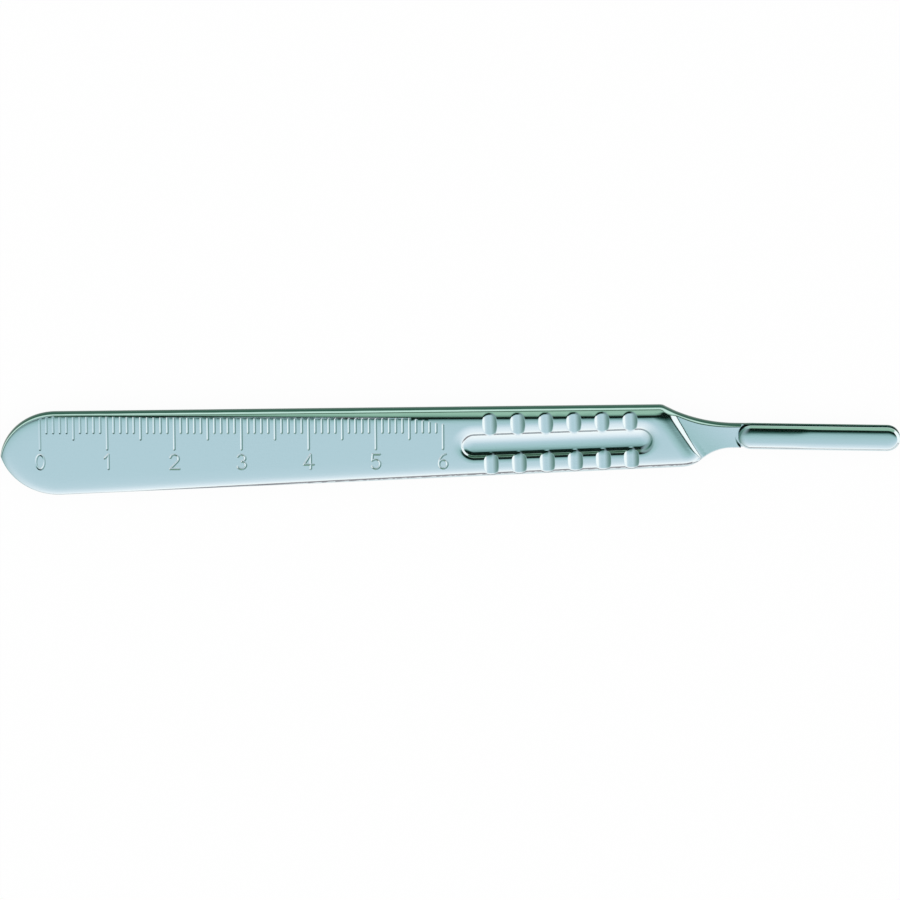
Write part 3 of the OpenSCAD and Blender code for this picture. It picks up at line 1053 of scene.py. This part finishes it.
# Colour of the floor, and the share of plain white that the camera and the steel see in its place
FLOOR_COLOUR = (0.94, 0.94, 0.94, 1)
FLOOR_WHITE = 0.94


def reckoned(tree, operation, *values, clamp=False):
    """Output of a math node, whose values are plain numbers or outputs of other nodes."""
    node = tree.nodes.new("ShaderNodeMath")
    node.operation = operation
    node.use_clamp = clamp
    for socket, value in zip(node.inputs, values):
        if isinstance(value, (int, float)):
            socket.default_value = value
        else:
            tree.links.new(value, socket)
    return node.outputs[0]


def steel_grain():
    """Fine brushed grain: a height in short strokes along the handle, and a patchy value from 0 to 1."""
    tree = group_of("steel_grain",
                    [("Along", "NodeSocketFloat", 700.0), ("Across", "NodeSocketFloat", 4200.0)],
                    [("Height", "NodeSocketFloat"), ("Patches", "NodeSocketFloat")])
    nodes, links = tree.nodes, tree.links
    inside, out = nodes.new("NodeGroupInput"), nodes.new("NodeGroupOutput")
    place = nodes.new("ShaderNodeTexCoord")
    scale = nodes.new("ShaderNodeCombineXYZ")
    links.new(inside.outputs["Along"], scale.inputs["X"])
    links.new(inside.outputs["Across"], scale.inputs["Y"])
    links.new(inside.outputs["Across"], scale.inputs["Z"])
    stretch = nodes.new("ShaderNodeVectorMath")
    stretch.operation = "MULTIPLY"
    links.new(place.outputs["Object"], stretch.inputs[0])
    links.new(scale.outputs[0], stretch.inputs[1])
    strokes = nodes.new("ShaderNodeTexNoise")
    strokes.inputs["Scale"].default_value = 1.0
    strokes.inputs["Detail"].default_value = 3.0
    links.new(stretch.outputs[0], strokes.inputs["Vector"])
    links.new(strokes.outputs[0], out.inputs["Height"])
    patches = nodes.new("ShaderNodeTexNoise")
    patches.inputs["Scale"].default_value = 260.0
    patches.inputs["Detail"].default_value = 4.0
    links.new(place.outputs["Object"], patches.inputs["Vector"])
    links.new(patches.outputs[0], out.inputs["Patches"])
    return tree


def painted_wall_reflections():
    """Mask of the lower part of the side walls, which gets a painted dark reflection of the shaded floor,
    with an upper limit that waves a little, and Side, the mask of the whole side walls, which gets a painted
    green reflection."""
    tree = group_of("painted_wall_reflections",
                    [("Limit", "NodeSocketFloat", 0.00204), ("Softness", "NodeSocketFloat", 0.0001)],
                    [("Mask", "NodeSocketFloat"), ("Side", "NodeSocketFloat")])
    nodes, links = tree.nodes, tree.links
    inside, out = nodes.new("NodeGroupInput"), nodes.new("NodeGroupOutput")
    place = nodes.new("ShaderNodeTexCoord")
    wave = nodes.new("ShaderNodeTexNoise")
    wave.inputs["Scale"].default_value = 320.0
    links.new(place.outputs["Object"], wave.inputs["Vector"])
    split = nodes.new("ShaderNodeSeparateXYZ")
    links.new(place.outputs["Object"], split.inputs[0])
    height = reckoned(tree, "MULTIPLY_ADD", wave.outputs[0], 0.0001, split.outputs["Z"])
    under = reckoned(tree, "SUBTRACT", inside.outputs["Limit"], height)
    low = reckoned(tree, "DIVIDE", under, inside.outputs["Softness"], clamp=True)
    shape = nodes.new("ShaderNodeNewGeometry")
    lean = nodes.new("ShaderNodeSeparateXYZ")
    links.new(shape.outputs["Normal"], lean.inputs[0])
    upright = nodes.new("ShaderNodeMapRange")
    upright.inputs["From Min"].default_value = 0.62
    upright.inputs["From Max"].default_value = 0.45
    links.new(reckoned(tree, "ABSOLUTE", lean.outputs["Z"]), upright.inputs["Value"])
    links.new(reckoned(tree, "MULTIPLY", low, upright.outputs[0]), out.inputs["Mask"])
    links.new(upright.outputs[0], out.inputs["Side"])
    return tree


def steel_material():
    """Satin steel with a fine grain along the handle. Its side walls carry a painted green reflection, and
    low down a painted dark reflection of the shaded floor."""
    material = bpy.data.materials.new("satin_steel")
    material.use_nodes = True
    nodes, links = material.node_tree.nodes, material.node_tree.links
    shader = nodes["Principled BSDF"]
    shader.inputs["Metallic"].default_value = 1.0
    grain = nodes.new("ShaderNodeGroup")
    grain.node_tree = steel_grain()
    side = nodes.new("ShaderNodeGroup")
    side.node_tree = painted_wall_reflections()
    # Painted reflection: the upright side walls take a greener colour in place of the green light they
    # reflect
    wall = nodes.new("ShaderNodeMix")
    wall.data_type = "RGBA"
    wall.inputs["A"].default_value = (*STEEL, 1)
    wall.inputs["B"].default_value = (*PAINTED_GREEN_REFLECTION, 1)
    links.new(side.outputs["Side"], wall.inputs["Factor"])
    # Painted dark reflection: low on the side walls the colour turns near black green, in place of the
    # shaded floor they reflect
    tint = nodes.new("ShaderNodeMix")
    tint.data_type = "RGBA"
    links.new(wall.outputs["Result"], tint.inputs["A"])
    tint.inputs["B"].default_value = (*PAINTED_DARK_REFLECTION, 1)
    links.new(side.outputs["Mask"], tint.inputs["Factor"])
    links.new(tint.outputs["Result"], shader.inputs["Base Color"])
    rough = nodes.new("ShaderNodeMapRange")
    rough.inputs["To Min"].default_value = LEAST_ROUGH
    rough.inputs["To Max"].default_value = MOST_ROUGH
    links.new(grain.outputs["Patches"], rough.inputs["Value"])
    links.new(rough.outputs[0], shader.inputs["Roughness"])
    bump = nodes.new("ShaderNodeBump")
    bump.inputs["Strength"].default_value = 0.12
    bump.inputs["Distance"].default_value = 0.00002
    links.new(grain.outputs["Height"], bump.inputs["Height"])
    links.new(bump.outputs[0], shader.inputs["Normal"])
    return material


def add_floor():
    """A plain pale floor. The camera and the steel see it near white, with the soft shadow of the handle."""
    bpy.ops.mesh.primitive_plane_add(size=8, location=(0, 0, 0))
    floor = bpy.context.active_object
    floor.name = "floor"
    material = bpy.data.materials.new("pale_floor")
    material.use_nodes = True
    shader = material.node_tree.nodes["Principled BSDF"]
    shader.inputs["Base Color"].default_value = FLOOR_COLOUR
    shader.inputs["Roughness"].default_value = 0.9
    shader.inputs["Specular IOR Level"].default_value = 0.1
    nodes, links = material.node_tree.nodes, material.node_tree.links
    bright = nodes.new("ShaderNodeEmission")
    bright.inputs["Color"].default_value = (1, 1, 1, 1)
    bright.inputs["Strength"].default_value = 1.0
    path = nodes.new("ShaderNodeLightPath")
    tree = material.node_tree
    seen = reckoned(tree, "ADD", path.outputs["Is Camera Ray"], path.outputs["Is Glossy Ray"])
    seen = reckoned(tree, "ADD", seen, path.outputs["Is Transmission Ray"])
    mix = nodes.new("ShaderNodeMixShader")
    links.new(reckoned(tree, "MULTIPLY", seen, FLOOR_WHITE, clamp=True), mix.inputs[0])
    links.new(shader.outputs[0], mix.inputs[1])
    links.new(bright.outputs[0], mix.inputs[2])
    links.new(mix.outputs[0], nodes["Material Output"].inputs["Surface"])
    floor.data.materials.append(material)


# What the steel sees, by the angle round the handle: 0 is straight up, 90 towards the back edge, -90 towards
# the belly edge. Each entry is an angle and the colour that the steel shows there.
ROUND_LIGHT = [
    (-180, (225, 228, 230)),
    (-100, (225, 225, 230)),
    (-90, (250, 250, 252)),
    (-85, (128, 128, 134)),
    (-73, (128, 128, 134)),
    (-67, (250, 250, 252)),
    (-56, (248, 250, 252)),
    (-45, (218, 234, 242)),
    (-29, (175, 205, 215)),
    (-21, (150, 190, 192)),
    (-13, (46, 90, 82)),
    (-7, (0, 20, 12)),
    (20, (0, 20, 12)),
    (33, (118, 162, 144)),
    (42, (146, 188, 168)),
    (52, (140, 180, 162)),
    (57, (46, 80, 62)),
    (80, (46, 80, 62)),
    (94, (190, 230, 208)),
    (130, (170, 215, 195)),
    (180, (225, 228, 230)),
]
# The same for the ends of the room: how far towards the tongue, from -1 to 1, what shows there, and how much
# of it covers the light round the handle.
END_LIGHT = [
    (-1.0, (50, 90, 82), 1.0),
    (-0.86, (84, 124, 116), 1.0),
    (-0.6, (120, 156, 154), 0.9),
    (-0.3, (155, 188, 193), 0.6),
    (-0.08, (175, 205, 215), 0.0),
    (0.66, (210, 228, 234), 0.0),
    (0.74, (250, 252, 253), 1.0),
    (1.0, (250, 252, 253), 1.0),
]


def light_ramp(tree, entries):
    """A colour ramp of shown colours and covers, over places from 0 to 1."""
    ramp = tree.nodes.new("ShaderNodeValToRGB")
    steps = ramp.color_ramp.elements
    while len(steps) < len(entries):
        steps.new(0.5)
    for step, (place, shown, cover) in zip(steps, entries):
        step.position = place
        step.color = [min(c / b, 1.4) for c, b in zip(linear(*shown)[:3], STEEL)] + [cover]
    return ramp


def light_room():
    """A soft tent of light round the handle. The steel sees its bands; all else is lit by plain white."""
    world = bpy.data.worlds.new("studio")
    bpy.context.scene.world = world
    world.use_nodes = True
    tree = world.node_tree
    nodes, links = tree.nodes, tree.links
    nodes.clear()
    place = nodes.new("ShaderNodeTexCoord")
    split = nodes.new("ShaderNodeSeparateXYZ")
    links.new(place.outputs["Generated"], split.inputs[0])
    angle = reckoned(tree, "ARCTAN2", split.outputs["Y"], split.outputs["Z"])
    share = nodes.new("ShaderNodeMapRange")
    share.inputs["From Min"].default_value = -math.pi
    share.inputs["From Max"].default_value = math.pi
    links.new(angle, share.inputs["Value"])
    around = light_ramp(tree, [((a + 180) / 360, shown, 1.0) for a, shown in ROUND_LIGHT])
    links.new(share.outputs[0], around.inputs[0])
    length = nodes.new("ShaderNodeMapRange")
    length.inputs["From Min"].default_value = -1.0
    length.inputs["From Max"].default_value = 1.0
    links.new(split.outputs["X"], length.inputs["Value"])
    ends = light_ramp(tree, [((x + 1) / 2, shown, cover) for x, shown, cover in END_LIGHT])
    links.new(length.outputs[0], ends.inputs[0])
    both = nodes.new("ShaderNodeMix")
    both.data_type = "RGBA"
    links.new(ends.outputs["Alpha"], both.inputs["Factor"])
    links.new(around.outputs["Color"], both.inputs["A"])
    links.new(ends.outputs["Color"], both.inputs["B"])
    seen = nodes.new("ShaderNodeBackground")
    links.new(both.outputs["Result"], seen.inputs["Color"])
    seen.inputs["Strength"].default_value = 1.0
    plain = nodes.new("ShaderNodeBackground")
    plain.inputs["Color"].default_value = (1, 1, 1, 1)
    plain.inputs["Strength"].default_value = 1.0
    path = nodes.new("ShaderNodeLightPath")
    mix = nodes.new("ShaderNodeMixShader")
    links.new(path.outputs["Is Glossy Ray"], mix.inputs[0])
    links.new(plain.outputs[0], mix.inputs[1])
    links.new(seen.outputs[0], mix.inputs[2])
    out = nodes.new("ShaderNodeOutputWorld")
    links.new(mix.outputs[0], out.inputs[0])


def add_camera():
    """A long lens from above the back edge, turned a little to match the picture."""
    raise_angle, turn_angle = math.radians(28.7), math.radians(0.4)
    distance, width = 3.0, 0.13403
    data = bpy.data.cameras.new("camera")
    data.sensor_width = 36.0
    data.lens = 36.0 * distance / width
    data.clip_end = 100
    camera = bpy.data.objects.new("camera", data)
    away = Vector((0, math.sin(raise_angle), math.cos(raise_angle)))
    lift = Vector((0, math.cos(raise_angle), -math.sin(raise_angle)))
    right = math.cos(turn_angle) * Vector((1, 0, 0)) - math.sin(turn_angle) * lift
    up = math.sin(turn_angle) * Vector((1, 0, 0)) + math.cos(turn_angle) * lift
    target = Vector((-0.000025, -0.000164, 0.0015))
    pose = Matrix((right, up, away)).transposed().to_4x4()
    pose.translation = target + away * distance
    camera.matrix_world = pose
    bpy.context.scene.collection.objects.link(camera)
    bpy.context.scene.camera = camera


handle.data.materials.append(steel_material())
add_floor()
light_room()
add_camera()
bpy.context.scene.view_settings.view_transform = "Standard"
